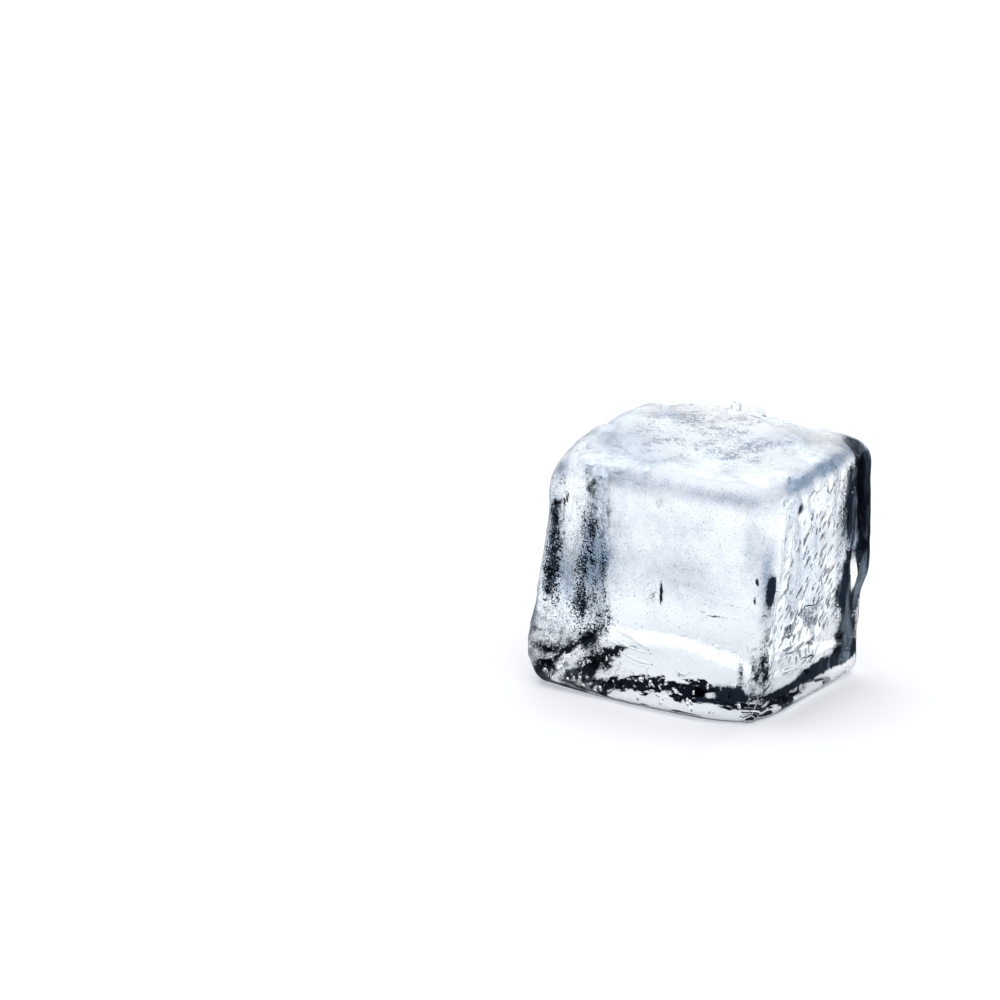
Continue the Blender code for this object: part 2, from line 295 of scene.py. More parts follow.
# Painted shade: dark edges painted into the ice's colour, where clear ice shows dark as it bends light the
# most
shadePlaces = [
    ((-13.9, -12.4, 22.0), (1.7, 3.0, 5.2), 0.66),
    ((-14.1, -12.8, 14.5), (1.8, 3.0, 4.4), 0.70),
    ((-7.8, -12.3, 27.6), (1.3, 3.0, 1.8), 0.52),
    ((-8.7, -12.3, 23.0), (1.5, 3.0, 3.2), 0.64),
    ((-9.2, -12.6, 17.6), (1.7, 3.0, 2.6), 0.60),
    ((-9.7, -12.6, 12.0), (1.7, 3.0, 3.2), 0.76),
    ((-6.6, -12.4, 16.0), (1.6, 3.0, 5.5), 0.42),
    ((-6.0, -12.6, 10.0), (1.8, 3.0, 2.5), 0.44),
    ((-8.4, -12.8, 7.4), (1.4, 3.0, 1.4), 0.90),
    ((-6.2, -13.3, 4.9), (1.7, 3.0, 1.1), 0.82),
    ((-14.2, -14.0, 5.6), (2.4, 3.0, 0.6), 0.90),
    ((-14.0, -14.0, 3.8), (1.4, 3.0, 0.7), 0.80),
    ((-4.6, -13.3, 2.7), (3.2, 3.0, 0.45), 0.66),
    ((18.0, 11.2, 25.8), (4.5, 5.2, 6.4), 2.20),
    ((17.8, 9.0, 19.9), (1.6, 0.9, 1.7), -0.95),
    ((17.8, 11.0, 16.5), (4.5, 3.2, 4.2), 1.10),
    ((17.4, 8.2, 12.4), (3.5, 2.9, 3.6), 1.35),
    ((17.2, 8.6, 7.0), (3.5, 2.6, 1.8), 1.05),
    ((17.6, 9.0, 14.8), (2.5, 0.55, 2.3), -2.50),
    ((17.0, 10.0, 32.8), (4.5, 5.5, 1.9), -1.90),
    ((16.6, 3.0, 3.7), (2.5, 6.5, 1.15), 1.25),
    ((16.9, 9.5, 4.0), (2.5, 3.0, 1.25), 1.25),
    ((16.0, -6.5, 3.4), (2.5, 3.6, 0.9), 1.00),
    ((16.4, -3.5, 1.9), (2.5, 4.5, 0.6), 0.55),
    ((1.7, -11.5, 15.4), (0.30, 3.0, 1.9), 1.10),
    ((0.2, -11.5, 15.0), (0.9, 3.0, 1.9), 0.44),
    ((1.4, -12.0, 27.2), (0.8, 3.0, 1.5), 0.48),
    ((15.2, -11.8, 19.6), (0.25, 3.0, 0.7), 0.80),
    ((14.9, -11.8, 17.2), (0.22, 3.0, 0.6), 0.75),
    ((5.2, -12.6, 5.6), (0.9, 3.0, 0.5), 0.62),
    ((11.6, -12.0, 4.1), (1.9, 3.0, 1.3), 1.35),
    ((8.0, -12.3, 3.8), (0.8, 3.0, 1.0), 0.85),
    ((9.8, -12.2, 3.0), (2.6, 3.0, 0.4), 0.80),
    ((13.3, -12.3, 7.4), (0.5, 3.0, 3.0), 0.45),
    ((16.7, -10.8, 18.3), (0.6, 0.6, 2.2), 1.30),
    ((16.9, -4.6, 27.2), (2.0, 0.75, 1.2), 0.74),
    ((17.2, -2.4, 28.2), (2.0, 0.8, 0.6), 0.72),
    ((15.6, -11.4, 6.4), (1.7, 2.2, 5.0), 0.64),
    ((16.3, -11.5, 15.5), (0.7, 1.0, 8.0), 0.30),
    ((-17.0, 10.5, 17.0), (3.0, 2.0, 9.0), 0.80),
    ((11.5, 13.0, 18.0), (1.2, 3.0, 7.0), 0.75),
    ((-17.5, -6.5, 12.0), (3.0, 0.9, 6.0), 0.70),
]
# Painted shade in level combs, along fine ridges where melt froze again
combPlaces = [
    ((16.8, -1.0, 6.4), (3.0, 5.5, 1.6), 1.0),
    ((16.9, 7.0, 6.6), (3.0, 2.5, 1.2), 0.9),
    ((-2.6, -12.8, 7.6), (3.6, 3.0, 1.7), 0.8),
    ((8.5, -12.5, 6.4), (3.0, 3.0, 1.0), 0.55),
    ((0.0, 13.0, 6.5), (9.0, 3.0, 1.6), 0.9),
    ((-17.0, 2.0, 6.5), (3.0, 7.0, 1.6), 0.9),
]
# Painted bluish grey shade: on the glazed rim of the top, the swollen foot and the middle of the front
coolShadePlaces = [
    ((16.7, -5.5, 30.4), (2.0, 5.0, 1.3), 0.90),
    ((17.2, 2.5, 31.0), (2.0, 5.0, 1.3), 0.90),
    ((18.0, 9.5, 32.2), (3.0, 4.0, 1.4), 0.90),
    ((12.5, -11.7, 29.6), (4.2, 1.8, 1.4), 0.62),
    ((6.0, -11.6, 29.3), (5.0, 1.8, 1.3), 0.50),
    ((-3.0, -11.8, 29.4), (5.5, 2.0, 1.7), 0.66),
    ((-13.8, -11.2, 28.9), (2.0, 2.0, 1.4), 0.70),
    ((-16.8, -12.5, 9.5), (1.0, 4.0, 3.0), 0.9),
    ((4.0, -12.2, 18.5), (10.5, 3.0, 4.6), 0.60),
    ((-6.5, -12.2, 18.0), (3.0, 3.0, 7.0), 0.40),
    ((-13.8, -12.4, 19.0), (1.9, 3.0, 9.0), 0.70),
    ((-8.6, -12.4, 18.0), (2.0, 3.0, 9.0), 0.60),
    ((14.6, -12.2, 24.0), (1.8, 3.0, 5.0), 0.40),
    ((4.0, -12.2, 25.3), (11.0, 3.0, 2.8), 0.36),
    ((-4.7, -12.3, 23.5), (2.2, 3.0, 5.0), 0.16),
    ((-11.5, -12.7, 14.5), (1.5, 3.0, 4.5), 0.62),
    ((16.4, -11.4, 19.0), (1.0, 1.4, 7.5), 0.66),
    ((17.2, 0.3, 22.0), (2.0, 6.0, 3.6), 0.40),
    ((-9.2, -2.4, 31.8), (5.0, 5.0, 3.0), 0.48),
    ((9.5, 4.5, 32.0), (5.0, 6.5, 3.0), 0.40),
    ((-1.0, -7.0, 31.0), (7.0, 3.0, 3.0), 0.38),
    ((17.5, 5.0, 21.0), (2.0, 1.3, 6.0), 0.40),
    ((17.8, 9.2, 19.4), (1.6, 1.7, 2.8), 1.20),
    ((17.0, 12.0, 4.0), (2.5, 2.0, 1.6), 0.90),
    ((-17.2, 2.0, 31.0), (1.6, 8.0, 1.0), 0.8),
    ((0.0, 13.0, 32.0), (12.0, 1.4, 1.0), 0.7),
]
# Under the foot the ice is frosted, apart from these clear strips: ends and half width, in millimetres
clearStrips = [
    ((-8.6, -6.8), (-2.4, -4.0), 2.3),
    ((-2.4, -3.8), (1.6, -2.2), 1.1),
    ((2.6, -4.6), (2.6, 0.4), 1.8),
    ((8.2, -2.6), (9.6, 1.6), 1.8),
    ((13.4, -9.0), (12.0, -4.0), 1.6),
    ((-13.0, -6.0), (-13.0, 9.0), 1.8),
    ((6.0, 8.6), (12.0, 8.6), 1.2),
]
# The foot's back edge is frosted too: from which depth, below which height, and how strongly
footFrost = {
    "flatBelow": 0.05 * mm,
    "backFrom": (8.0 * mm, 11.0 * mm),
    "backBelow": (3.0 * mm, 1.0 * mm),
    "backStrength": 0.75,
}


def zoneStrength(points, places):
    total = sum(strength * nearness(points, place, spread) for place, spread, strength in places)
    return np.clip(total, 0.0, 1.0)


def underFrost(points):
    # 1 where the flat underside is frosted, 0 in the middle of its clear strips and above the foot
    frosted = np.ones(len(points))
    for start, end, halfWidth in clearStrips:
        start, end = np.array(start) * mm, np.array(end) * mm
        along = np.clip((points[:, :2] - start) @ (end - start) / ((end - start) @ (end - start)), 0.0, 1.0)
        away = np.linalg.norm(points[:, :2] - start - along[:, None] * (end - start), axis=1)
        frosted = np.minimum(frosted, np.clip(away / (2 * halfWidth * mm), 0.0, 1.0))
    flat = points[:, 2] < footFrost["flatBelow"]
    back = smoothStep(*footFrost["backFrom"], points[:, 1])
    low = smoothStep(*footFrost["backBelow"], points[:, 2])
    return np.maximum(frosted * flat, footFrost["backStrength"] * (back * low))


def storeZone(data, name, values):
    zone = data.attributes.new(name, "FLOAT", "POINT")
    zone.data.foreach_set("value", values.astype(np.float32))


zones = {
    "frost": frostPlaces,
    "haze": hazePlaces,
    "streaks": streakPlaces,
    "shade": shadePlaces,
    "coolShade": coolShadePlaces,
    "comb": combPlaces,
}


def makeBlock():
    mesh = bmesh.new()
    bmesh.ops.create_cube(mesh, size=2)
    bmesh.ops.subdivide_edges(mesh, edges=mesh.edges, cuts=iceForm["cells"] - 1, use_grid_fill=True)
    cube = np.array([vertex.co for vertex in mesh.verts])
    points = meltedBlock(cube)
    for vertex, place in zip(mesh.verts, points):
        vertex.co = place
    data = bpy.data.meshes.new("clearIce")
    mesh.to_mesh(data)
    mesh.free()
    data.shade_smooth()
    for name, places in zones.items():
        storeZone(data, name, zoneStrength(points, places))
    storeZone(data, "under", underFrost(points))
    block = bpy.data.objects.new("clearIce", data)
    bpy.context.scene.collection.objects.link(block)
    return block


# Materials

iceLook = {
    "colour": (1.0, 1.0, 1.0, 1.0),
    "ior": 1.31,
    "tint": (0.80, 0.90, 1.0, 1.0),
    "tintDensity": 16.0,
}


class NodeDesk:
    # short ways to add nodes to one material or group
    def __init__(self, tree):
        self.nodes = tree.nodes
        self.links = tree.links

    def put(self, socket, value):
        if isinstance(value, bpy.types.NodeSocket):
            self.links.new(value, socket)
        else:
            socket.default_value = value

    def maths(self, operation, *values):
        node = self.nodes.new("ShaderNodeMath")
        node.operation = operation
        for socket, value in zip(node.inputs, values):
            self.put(socket, value)
        return node.outputs[0]

    def stretched(self, vector, scale, turn=(0.0, 0.0, 0.0)):
        node = self.nodes.new("ShaderNodeMapping")
        self.put(node.inputs["Vector"], vector)
        node.inputs["Rotation"].default_value = [math.radians(part) for part in turn]
        node.inputs["Scale"].default_value = scale
        return node.outputs[0]

    def shifted(self, vector, value, reach):
        # moves a vector by a noise value in all three directions
        node = self.nodes.new("ShaderNodeVectorMath")
        node.operation = "ADD"
        self.put(node.inputs[0], vector)
        self.put(node.inputs[1], self.span(value, 0.0, 1.0, -reach, reach))
        return node.outputs[0]

    def red(self, colour):
        node = self.nodes.new("ShaderNodeSeparateColor")
        self.put(node.inputs[0], colour)
        return node.outputs[0]

    def noise(self, vector, size, detail, roughness):
        # noise whose bumps are about as wide as size, in millimetres
        node = self.nodes.new("ShaderNodeTexNoise")
        self.put(node.inputs["Vector"], vector)
        node.inputs["Scale"].default_value = 1 / (size * mm)
        node.inputs["Detail"].default_value = detail
        node.inputs["Roughness"].default_value = roughness
        return node.outputs["Fac"]

    def part(self, vector, axis):
        node = self.nodes.new("ShaderNodeSeparateXYZ")
        self.put(node.inputs[0], vector)
        return node.outputs[axis]

    def flattened(self, vector, axes):
        # two of a vector's three axes, laid out as X and Y
        whole = self.nodes.new("ShaderNodeCombineXYZ")
        self.put(whole.inputs["X"], self.part(vector, axes[0]))
        self.put(whole.inputs["Y"], self.part(vector, axes[1]))
        return whole.outputs[0]

    def cells(self, vector, scale, output="Distance", dimensions="3D"):
        node = self.nodes.new("ShaderNodeTexVoronoi")
        node.voronoi_dimensions = dimensions
        self.put(node.inputs["Vector"], vector)
        node.inputs["Scale"].default_value = scale
        return node.outputs[output]

    def span(self, value, fromLow, fromHigh, toLow=0.0, toHigh=1.0):
        node = self.nodes.new("ShaderNodeMapRange")
        self.put(node.inputs["Value"], value)
        node.inputs["From Min"].default_value = fromLow
        node.inputs["From Max"].default_value = fromHigh
        node.inputs["To Min"].default_value = toLow
        node.inputs["To Max"].default_value = toHigh
        return node.outputs["Result"]

    def mix(self, share, first, second):
        # the colour sockets of this node have no names of their own, so they are found by number
        node = self.nodes.new("ShaderNodeMix")
        node.data_type = "RGBA"
        self.put(node.inputs[0], share)
        self.put(node.inputs[6], first)
        self.put(node.inputs[7], second)
        return node.outputs[2]

    def attribute(self, name):
        node = self.nodes.new("ShaderNodeAttribute")
        node.attribute_name = name
        return node.outputs["Fac"]


# Noises of the skin: the size of their bumps in millimetres, their detail and their roughness
skinNoises = {
    "coarse": (1.7, 4.0, 0.6),
    "fine": (0.24, 2.0, 0.6),
    "frostGrain": (0.6, 4.0, 0.6),
    "frostRipple": (2.2, 3.0, 0.55),
    "hazeGrain": (0.32, 3.0, 0.6),
    "hazeLump": (1.3, 2.0, 0.5),
    "flakes": (0.8, 3.0, 0.7),
    "flakePatches": (4.5, 2.0, 0.5),
    "streakWander": (1.5, 2.0, 0.5),
    "streakRim": (0.3, 2.0, 0.5),
    "curtain": (1.2, 4.0, 0.6),
    "wisps": (1.6, 2.0, 0.5),
    "combRows": (0.62, 3.0, 0.6),
}
# Nearly all values of a noise lie between these
noiseSpan = (0.25, 0.75)
# How deep the noises of the relief are, in millimetres
skinDepths = {"frostGrain": 0.13, "frostRipple": 0.25, "hazeGrain": 0.035, "hazeLump": 0.10}
# How ragged each mask is: the shares of its coarse and its fine noise, and how soft its edge is
raggedness = {
    "under": (0.50, 0.16, 0.03),
    "frost": (0.10, 0.32, 0.12),
    "coolShade": (0.12, 0.12, 0.36),
    "shade": (0.30, 0.26, 0.10),
    "halo": (0.24, 0.10, 0.28),
}
# Where each finish and each painted shade starts and is full, by the strength of its zone or its noise
finishAndShadeEdges = {
    "frost": (0.25, 0.8),
    "streaks": (0.25, 0.6),
    "halo": (0.05, 0.35),
    "specks": (0.665, 0.715),
    "wisps": (0.46, 0.72),
    "combRows": (0.59, 0.65),
}
# The ice's own white, and the painted shade laid over it: dark frost mottle, bluish grey rims, specks,
# streaks, halos, dark edges and wisps
skinColoursAndShades = {
    "frost": ((0.13, 0.17, 0.235, 1.0), (1.0, 1.0, 1.0, 1.0)),
    "coolShade": (0.09, 0.135, 0.20, 1.0),
    "specks": (0.05, 0.06, 0.09, 1.0),
    "streaks": (0.001, 0.002, 0.004, 1.0),
    "halo": (0.06, 0.09, 0.13, 1.0),
    "shade": (0.0002, 0.0004, 0.0010, 1.0),
    "wisps": (0.030, 0.045, 0.066, 1.0),
}
skinRoughness = {"clear": 0.01, "frost": 0.30, "haze": 0.06, "under": 0.65}
# The frost's painted dark mottle lies in flakes that are stretched and turned, and thicker in patches
flakeLook = {"stretch": (1.0, 1.3, 1.0), "turn": (0.0, 0.0, 20.0), "patchShift": (0.3, 0.7, -0.10, 0.34)}
# Streaks of painted near-black shade over shallow pits, in two sizes: width and length of their cells in
# millimetres, and the share of cells left empty
streakLook = {
    "sizes": ((0.80, 2.2, 0.22), (1.35, 3.6, 0.52)),
    "lean": 36.0,
    "edge": (0.19, 0.27),
    "rimReach": 0.09,
    "wanderReach": 0.5,
    "emptyEdge": 0.02,
    "palest": 0.80,
    "depth": 0.015 * mm,
}
pockLook = {"spacing": 1.5 * mm, "edge": (0.03, 0.12), "depth": 0.03 * mm}
# The painted shade of the dark edges hangs in curtains, with wisps on the far side, level combs and clear
# beads in it
shadeLook = {
    "curtainStretch": (1.0, 1.0, 0.42),
    "hazeGrain": 1.6,
    "leastGrain": 0.5,
    "haloStrength": 0.8,
    "wispStretch": (1.0, 1.0, 0.22),
    "wispsFrom": (3.0 * mm, 6.0 * mm),
    "combStretch": (0.30, 0.30, 1.5),
    "combShift": (-0.55, 0.13),
    "beadSpacing": 1.0 * mm,
    "beadSizes": (0.45, 1.0, -0.05, 0.15),
    "beadEdge": 0.05,
}
# How much the haze zone adds to the painted shade of fine dark specks
hazeSpeckShift = 0.09


def streakMask(desk, point):
    # short slanted streaks, for painted shade and shallow pits, as seen from the right or the left
    wander = desk.noise(point, *skinNoises["streakWander"])
    rimReach = streakLook["rimReach"]
    rim = desk.span(desk.noise(point, *skinNoises["streakRim"]), *noiseSpan, -rimReach, rimReach)
    sideOn = desk.flattened(point, "YZ")
    slope = desk.stretched(sideOn, (1.0, 1.0, 1.0), (0.0, 0.0, streakLook["lean"]))
    masks = []
    for width, length, empty in streakLook["sizes"]:
        laid = desk.stretched(slope, (1 / (width * mm), 1 / (length * mm), 1.0))
        laid = desk.shifted(laid, wander, streakLook["wanderReach"])
        away = desk.maths("ADD", desk.cells(laid, 1.0, "Distance", "2D"), rim)
        streak = desk.span(away, *streakLook["edge"], 1.0, 0.0)
        number = desk.red(desk.cells(laid, 1.0, "Color", "2D"))
        streak = desk.maths("MULTIPLY", streak, desk.span(number, empty, empty + streakLook["emptyEdge"]))
        masks.append(desk.maths("MULTIPLY", streak, desk.span(number, empty, 1.0, streakLook["palest"], 1.0)))
    return desk.maths("MAXIMUM", *masks)


def noiseBumps(desk, point, names):
    # the sum of two noises, each as deep as skinDepths says
    bumps = [desk.noise(point, *skinNoises[name]) for name in names]
    bumps = [desk.maths("MULTIPLY", bump, skinDepths[name] * mm) for bump, name in zip(bumps, names)]
    return desk.maths("ADD", *bumps)


def skinRelief(desk, point, streak):
    # height of the fine relief in metres
    top = noiseBumps(desk, point, ("frostGrain", "frostRipple"))
    top = desk.maths("MULTIPLY", top, desk.attribute("frost"))
    side = noiseBumps(desk, point, ("hazeGrain", "hazeLump"))
    side = desk.maths("MULTIPLY", side, desk.attribute("haze"))
    pits = desk.maths("MULTIPLY", streak, -streakLook["depth"])
    pocks = desk.span(desk.cells(point, 1 / pockLook["spacing"]), *pockLook["edge"], -pockLook["depth"], 0.0)
    total = desk.maths("ADD", top, side)
    total = desk.maths("ADD", total, pits)
    return desk.maths("ADD", total, pocks)


def ragged(desk, zone, coarse, fine, coarseShare, fineShare, softness):
    # a zone's smooth strength turned into a mask with a ragged, grainy edge
    total = desk.maths("ADD", zone, desk.span(coarse, *noiseSpan, -coarseShare, coarseShare))
    total = desk.maths("ADD", total, desk.span(fine, *noiseSpan, -fineShare, fineShare))
    return desk.span(total, 0.5 - softness, 0.5 + softness)


def mixedRoughness(desk, frost, coarse, fine):
    under = ragged(desk, desk.attribute("under"), coarse, fine, *raggedness["under"])
    total = desk.maths("MULTIPLY", frost, skinRoughness["frost"])
    total = desk.maths("ADD", total, desk.maths("MULTIPLY", desk.attribute("haze"), skinRoughness["haze"]))
    total = desk.maths("ADD", total, desk.maths("MULTIPLY", under, skinRoughness["under"]))
    return desk.maths("ADD", total, skinRoughness["clear"])


def paleColourAndPaintedShade(desk, point, frost, coarse, fine, streak):
    # the ice's pale colour with painted shade laid over it: dark mottle in the frost, bluish grey rims, fine
    # dark specks and near-black streaks
    flakes = desk.noise(desk.stretched(point, flakeLook["stretch"], flakeLook["turn"]), *skinNoises["flakes"])
    patches = desk.noise(point, *skinNoises["flakePatches"])
    flakes = desk.maths("ADD", flakes, desk.span(patches, *flakeLook["patchShift"]))
    # painted shade: dark bluish mottle in the frost
    mottle = ragged(desk, flakes, coarse, fine, *raggedness["frost"])
    colour = desk.mix(frost, iceLook["colour"], desk.mix(mottle, *skinColoursAndShades["frost"]))
    # painted bluish grey shade on the rims, the foot and the middle of the front
    coolShade = ragged(desk, desk.attribute("coolShade"), coarse, fine, *raggedness["coolShade"])
    colour = desk.mix(coolShade, colour, skinColoursAndShades["coolShade"])
    # painted shade in fine dark specks, more of them in the haze zone
    speckShift = desk.span(desk.attribute("haze"), 0.0, 1.0, 0.0, hazeSpeckShift)
    specks = desk.span(desk.maths("ADD", fine, speckShift), *finishAndShadeEdges["specks"])
    colour = desk.mix(specks, colour, skinColoursAndShades["specks"])
    # painted near-black shade in the streaks
    return desk.mix(streak, colour, skinColoursAndShades["streaks"])


def paintedShadeMask(desk, point, curtain, grain):
    # where the painted shade of the dark edges and combs lies, apart from the clear beads in it
    shade = ragged(desk, desk.attribute("shade"), curtain, grain, *raggedness["shade"])
    rows = desk.noise(desk.stretched(point, shadeLook["combStretch"]), *skinNoises["combRows"])
    rows = desk.maths("ADD", rows, desk.span(desk.attribute("comb"), 0.0, 1.0, *shadeLook["combShift"]))
    shade = desk.maths("MAXIMUM", shade, desk.span(rows, *finishAndShadeEdges["combRows"]))
    beadScale = 1 / shadeLook["beadSpacing"]
    away = desk.cells(point, beadScale)
    size = desk.span(desk.red(desk.cells(point, beadScale, "Color")), *shadeLook["beadSizes"])
    beads = desk.span(desk.maths("SUBTRACT", away, size), 0.0, shadeLook["beadEdge"])
    return desk.maths("MULTIPLY", shade, beads)


def withPaintedShadeEdges(desk, point, fine, colour):
    # a colour with the painted shade of its dark edges laid over it, each in a soft halo of lighter painted
    # bluish shade
    haze = desk.attribute("haze")
    grainy = desk.maths("MULTIPLY_ADD", haze, shadeLook["hazeGrain"], shadeLook["leastGrain"])
    grain = desk.maths("MULTIPLY_ADD", desk.maths("SUBTRACT", fine, 0.5), grainy, 0.5)
    curtain = desk.noise(desk.stretched(point, shadeLook["curtainStretch"]), *skinNoises["curtain"])
    zone = desk.attribute("shade")
    halo = ragged(desk, zone, curtain, grain, *raggedness["halo"])
    halo = desk.maths("MULTIPLY", halo, shadeLook["haloStrength"])
    halo = desk.maths("MULTIPLY", halo, desk.span(zone, *finishAndShadeEdges["halo"]))
    colour = desk.mix(halo, colour, skinColoursAndShades["halo"])
    wisps = desk.noise(desk.stretched(point, shadeLook["wispStretch"]), *skinNoises["wisps"])
    farShare = desk.span(desk.part(point, "Y"), *shadeLook["wispsFrom"])
    wisps = desk.maths("MULTIPLY", desk.span(wisps, *finishAndShadeEdges["wisps"]), farShare)
    # painted shade: near-black, with lighter bluish wisps on the far side
    dark = desk.mix(wisps, skinColoursAndShades["shade"], skinColoursAndShades["wisps"])
    return desk.mix(paintedShadeMask(desk, point, curtain, grain), colour, dark)


def setClear(shader):
    shader.inputs["Metallic"].default_value = 0.0
    shader.inputs["IOR"].default_value = iceLook["ior"]
    shader.inputs["Transmission Weight"].default_value = 1.0


def makeIceMaterial():
    material = bpy.data.materials.new("clearIce")
    material.use_nodes = True
    nodes = material.node_tree.nodes
    desk = NodeDesk(material.node_tree)
    shader = nodes["Principled BSDF"]
    point = nodes.new("ShaderNodeTexCoord").outputs["Object"]
    coarse = desk.noise(point, *skinNoises["coarse"])
    fine = desk.noise(point, *skinNoises["fine"])
    frost = desk.span(desk.attribute("frost"), *finishAndShadeEdges["frost"])
    streakShare = desk.span(desk.attribute("streaks"), *finishAndShadeEdges["streaks"])
    streak = desk.maths("MULTIPLY", streakMask(desk, point), streakShare)
    bump = nodes.new("ShaderNodeBump")
    bump.inputs["Distance"].default_value = 1.0
    desk.put(bump.inputs["Height"], skinRelief(desk, point, streak))
    desk.put(shader.inputs["Normal"], bump.outputs[0])
    desk.put(shader.inputs["Roughness"], mixedRoughness(desk, frost, coarse, fine))
    # The base colour is the ice's white with painted shade over it: frost mottle, bluish rims, specks,
    # streaks and dark edges
    colour = paleColourAndPaintedShade(desk, point, frost, coarse, fine, streak)
    desk.put(shader.inputs["Base Color"], withPaintedShadeEdges(desk, point, fine, colour))
    setClear(shader)
    absorb = nodes.new("ShaderNodeVolumeAbsorption")
    absorb.inputs["Color"].default_value = iceLook["tint"]
    absorb.inputs["Density"].default_value = iceLook["tintDensity"]
    desk.put(nodes["Material Output"].inputs["Volume"], absorb.outputs[0])
    return material


splinterLook = {"centreHeight": 32.9 * mm, "bevel": 0.25 * mm, "taper": 0.25}
# Each splinter: place on the top, size, both in millimetres, and turn in degrees
splinters = {
    "wideSplinter": ((2.4, 10.4), (2.5, 1.7, 2.4), (12.0, -9.0, 24.0)),
    "tallSplinter": ((-0.7, 10.3), (1.5, 1.3, 2.6), (-8.0, 7.0, -18.0)),
}


def makeSplinter(name, place, size, turn):
    mesh = bmesh.new()
    bmesh.ops.create_cube(mesh, size=1)
    for vertex in mesh.verts:
        if vertex.co.z > 0:
            vertex.co.x *= 1 - splinterLook["taper"]
        vertex.co = Vector([part * side * mm for part, side in zip(vertex.co, size)])
    bmesh.ops.bevel(mesh, geom=mesh.edges, offset=splinterLook["bevel"], segments=1, affect="EDGES")
    data = bpy.data.meshes.new(name)
    mesh.to_mesh(data)
    mesh.free()
    splinter = bpy.data.objects.new(name, data)
    splinter.location = (place[0] * mm, place[1] * mm, splinterLook["centreHeight"])
    splinter.rotation_euler = [math.radians(part) for part in turn]
    bpy.context.scene.collection.objects.link(splinter)
    return splinter


def freezeOn(block, splinter):
    modifier = block.modifiers.new("freezeOn", "BOOLEAN")
    modifier.operation = "UNION"
    modifier.solver = "EXACT"
    modifier.object = splinter
    view = bpy.context.evaluated_depsgraph_get()
    frozen = bpy.data.meshes.new_from_object(block.evaluated_get(view))
    block.modifiers.clear()
    block.data = frozen
    bpy.data.objects.remove(splinter, do_unlink=True)


block = makeBlock()
for name, values in splinters.items():
    freezeOn(block, makeSplinter(name, *values))
block.data.materials.clear()
block.data.materials.append(makeIceMaterial())
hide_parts("ice_block")
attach(block, "root")
print("stage 2: ice block made,", len(block.data.polygons), "faces")


# Air trapped in the ice: small hollows just under its skin, whose faces point inwards

airLook = {
    "gap": 0.06,
    "wobble": 0.10,
    "roughness": 0.02,
    "startAway": 60 * mm,
    "leastFacing": 0.75,
    "seed": 11,
}
# Each family: side of the block, number, first and last place along and up that side, length, width,
# depth under the skin, all in millimetres, and lean and its spread in degrees
airFamilies = {
    "sideStreaks": ("right", 60, (-11.5, 9.0), (3.5, 29.0), (0.6, 2.0), (0.14, 0.34), (0.05, 0.9), (36, 12)),
    "edgeStreaks": ("right", 90, (-13.0, -9.5), (1.0, 14.0), (0.6, 1.8), (0.10, 0.22), (0.05, 0.8), (6, 8)),
    "frontSpecks": ("front", 150, (-6.0, 15.0), (2.0, 28.0), (0.08, 0.20), (0.05, 0.09), (0.1, 1.5), (0, 90)),
    "leftSpecks": ("front", 420, (-16.5, -3.5), (1.0, 28.0), (0.14, 0.5), (0.08, 0.20), (0.05, 1.6), (4, 40)),
    "footBubbles": ("front", 60, (-15.0, 15.0), (0.8, 5.5), (0.4, 1.1), (0.2, 0.5), (0.1, 1.8), (0, 50)),
    "topSpecks": ("top", 200, (-15.0, 15.0), (-11.0, 11.0), (0.2, 0.9), (0.08, 0.2), (0.05, 0.8), (90, 30)),
    "leftStreaks": ("left", 200, (-11.0, 11.0), (2.0, 28.0), (0.4, 1.4), (0.10, 0.22), (0.05, 0.8), (12, 14)),
    "backStreaks": ("back", 130, (6.0, 15.0), (2.0, 28.0), (0.3, 1.3), (0.10, 0.22), (0.05, 0.9), (10, 14)),
}
# Hair cracks: points along each on the front, as place across and height, and its thickness, in millimetres
hairs = [
    ((-4.6, 9.3), (-3.2, 9.0), (-1.6, 8.4), (0.2, 7.6), 0.22),
    ((-4.8, 8.1), (-3.4, 7.6), (-1.4, 7.3), (0.6, 7.2), 0.15),
    ((-4.0, 6.7), (-2.4, 6.2), (-0.8, 6.0), (1.0, 5.9), 0.17),
    ((-3.6, 6.0), (-2.4, 5.6), (-1.2, 5.5), (-0.2, 5.5), 0.08),
    ((0.4, 16.6), (-0.6, 16.2), (-1.0, 14.8), (-0.5, 13.3), 0.10),
    ((-6.0, 29.6), (-4.4, 29.5), (-2.8, 29.2), (-1.6, 29.0), 0.14),
    ((1.2, 28.6), (0.6, 28.0), (0.7, 27.0), (1.4, 26.2), 0.08),
    ((4.2, 6.1), (5.0, 5.6), (5.8, 5.6), (6.3, 6.0), 0.12),
    ((12.6, 10.6), (13.0, 9.4), (12.8, 8.2), (13.3, 7.0), 0.10),
]
hairShape = {"depth": 0.35 * mm, "steps": 18, "around": 6, "smoothings": 3}
# Drops frozen on the right side: loops of hair cracks, as place along and height
sideHairs = [
    ((-1.5, 30.4), (-1.6, 29.4), (-1.0, 28.6), (-0.2, 28.2), 0.12),
    ((0.9, 29.6), (0.6, 29.0), (0.2, 28.5), (-0.2, 28.2), 0.14),
    ((-9.4, 28.9), (-9.0, 29.3), (-8.2, 29.6), (-7.4, 29.7), 0.12),
    ((-10.6, 28.4), (-9.6, 28.2), (-9.0, 27.4), (-9.6, 26.6), 0.10),
]
